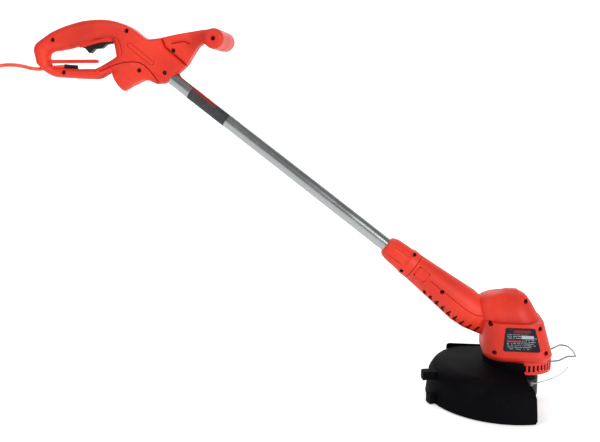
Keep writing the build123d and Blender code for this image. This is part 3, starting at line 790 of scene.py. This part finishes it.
def makeRingShadeSleeve():
    # painted shade: a dark sleeve close behind the slots of the vent ring, so they look dark inside
    points, quads = spun([(42, z) for z in (58.5, 64.5, 70.5, 77.0)], 96)
    netPiece("ringLining", points, quads, finishes["plate_dark"], "head")


def makeClampScrew():
    # head of the screw that holds the handle to the tube, turned about Y
    points, quads = spun([(0.05, -13.7), (1.4, -14.3), (3.4, -14.3), (3.75, -13.4)], 24)
    sx, sz = grip["screws"][-1]
    points = points[:, [0, 2, 1]] + (sx, 0, sz)
    netPiece("clampScrew", points, quads[:, ::-1], finishes["screw_black"], "handle")


makeShadeStrips()
makeRingShadeSleeve()
makeClampScrew()
print("seams laid")


def squeezeSprings():
    # the three return springs each get a mesh of their own
    for node, joint, axis, anchor, keep in (
            ("trigger_spring", "trigger_pull", (0, 0, 1), (-0.786, 0, 0.6369), 0.30),
            ("button_spring", "button_press", (0, 1, 0), (-0.1823, -0.014, 0.2228), 0.45),
            ("spool_spring", "knob_bump", (0, 0, 1), (0, 0, 0.0159), 0.15)):
        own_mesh(bpy.data.objects[node])


squeezeSprings()
print("springs set")


# cords

supply = {
    "diameter": 0.0065,
    "length": 0.363,
    "route": [
        (-0.829, 0, 0.5846), (-0.850, 0, 0.5846), (-0.884, -0.001, 0.579),
        (-0.918, -0.005, 0.589), (-0.958, -0.010, 0.587), (-0.988, -0.012, 0.560),
        (-1.001, -0.011, 0.515), (-0.999, -0.006, 0.465), (-1.002, 0, 0.414),
        (-1.002, 0, 0.368),
    ],
}
trim = {
    "diameter": 0.0018,
    "length": 0.121,
    "route": [
        (0.0144, -0.0240, 0.0300), (0.037, -0.010, 0.0306), (0.058, 0.007, 0.0316),
        (0.076, 0.028, 0.0324), (0.089, 0.050, 0.033), (0.095, 0.063, 0.033),
    ],
}


def cordCurve(name, facts, finish, body):
    # one smooth NURBS line through the route, with a round section
    curve = bpy.data.curves.new(name, "CURVE")
    curve.dimensions = "3D"
    curve.bevel_depth = facts["diameter"] / 2
    curve.bevel_resolution = 6
    curve.resolution_u = 12
    curve.use_fill_caps = True
    spline = curve.splines.new("NURBS")
    spline.points.add(len(facts["route"]) - 1)
    for point, place in zip(spline.points, facts["route"]):
        point.co = (*place, 1)
    spline.order_u = 3
    spline.use_endpoint_u = True
    curve.materials.append(finish)
    thing = bpy.data.objects.new(name, curve)
    bpy.context.collection.objects.link(thing)
    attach(thing, body)
    return thing


def makeCords():
    lead = cordCurve("supplyLead", supply, finishes["cord_orange"], "handle")
    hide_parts("supply_cord")
    line = cordCurve("trimLine", trim, finishes["nylon_line"], "rotor")
    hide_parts("cutting_line")


makeCords()
print("cords laid")


# stage

view = {
    "place": (-0.2433, -1.3251, 0.5285), "turn": math.radians(6.8), "down": math.radians(9.3),
    "lens": 45.0,
}


def makeCamera():
    # built from the right, up and back directions of the view
    turn, down = view["turn"], view["down"]
    right = Vector((math.cos(turn), math.sin(turn), 0))
    ahead = Vector((-math.sin(turn) * math.cos(down), math.cos(turn) * math.cos(down), -math.sin(down)))
    up = right.cross(ahead)
    camera = bpy.data.objects.new("camera", bpy.data.cameras.new("camera"))
    bpy.context.collection.objects.link(camera)
    turnMatrix = Matrix((right, up, -ahead)).transposed().to_4x4()
    camera.matrix_world = Matrix.Translation(view["place"]) @ turnMatrix
    camera.data.lens = view["lens"]
    camera.data.clip_end = 30
    bpy.context.scene.camera = camera


def makeLight(name, place, target, size, power):
    lamp = bpy.data.lights.new(name, "AREA")
    lamp.shape, lamp.size, lamp.energy = "DISK", size, power
    thing = bpy.data.objects.new(name, lamp)
    bpy.context.collection.objects.link(thing)
    thing.location = place
    aim = Vector(target) - Vector(place)
    thing.rotation_euler = aim.to_track_quat("-Z", "Y").to_euler()


lamps = {     # place, target, size and power
    "key": ((1.5, -2.0, 1.0), (-0.25, 0, 0.3), 0.8, 46),
    "side": ((-1.9, -1.9, 1.5), (-0.7, 0, 0.5), 0.8, 10),
    "hand": ((-0.8, -0.7, 1.8), (-0.75, 0, 0.6), 0.5, 7),
    "back": ((-0.3, 2.2, 2.6), (-0.3, 3.2, 0.4), 2.4, 60),
}
studio = {"floorEnd": 1.8, "bend": 1.8, "wallTop": 6.0, "half": 11.0, "near": -8.0}


def makeStage():
    # one sheet of paper: floor, quarter circle, wall
    turn = np.linspace(0, np.pi / 2, 24)
    y = np.concatenate([[studio["near"]], studio["floorEnd"] + studio["bend"] * np.sin(turn),
                        [studio["floorEnd"] + studio["bend"]]])
    z = np.concatenate([[0], studio["bend"] * (1 - np.cos(turn)), [studio["wallTop"]]]) - 0.002
    x = np.array([-studio["half"], studio["half"]])
    points = np.stack([np.repeat(x[None], len(y), 0), np.repeat(y[:, None], 2, 1),
                       np.repeat(z[:, None], 2, 1)], -1).reshape(-1, 3)
    mesh = bpy.data.meshes.new("floor")
    mesh.from_pydata([tuple(p) for p in points], [],
                     [tuple(int(i) for i in f) for f in gridFaces(len(y), 2)])
    mesh.update()
    mesh.shade_smooth()
    floor = bpy.data.objects.new("floor", mesh)
    bpy.context.collection.objects.link(floor)
    s = Sheet("floorPaper", Specular_IOR_Level=0.05, Emission_Color=(1, 1, 1, 1),
              Emission_Strength=0.42)
    cloud = s.noise(0.6, 2)
    s.feed("Base Color", s.mix(cloud, (0.87, 0.87, 0.87), (0.90, 0.90, 0.90)))
    s.feed("Roughness", 0.9 + cloud * 0.08)
    mesh.materials.append(s.material)
    world = bpy.data.worlds.new("studio")
    bpy.context.scene.world = world
    world.use_nodes = True
    world.node_tree.nodes["Background"].inputs[0].default_value = (1, 1, 1, 1)
    world.node_tree.nodes["Background"].inputs[1].default_value = 0.22
    bpy.context.scene.view_settings.view_transform = "Standard"
    for name, (place, target, size, power) in lamps.items():
        makeLight(name, place, target, size, power)


makeCamera()
makeStage()
print("stage set")
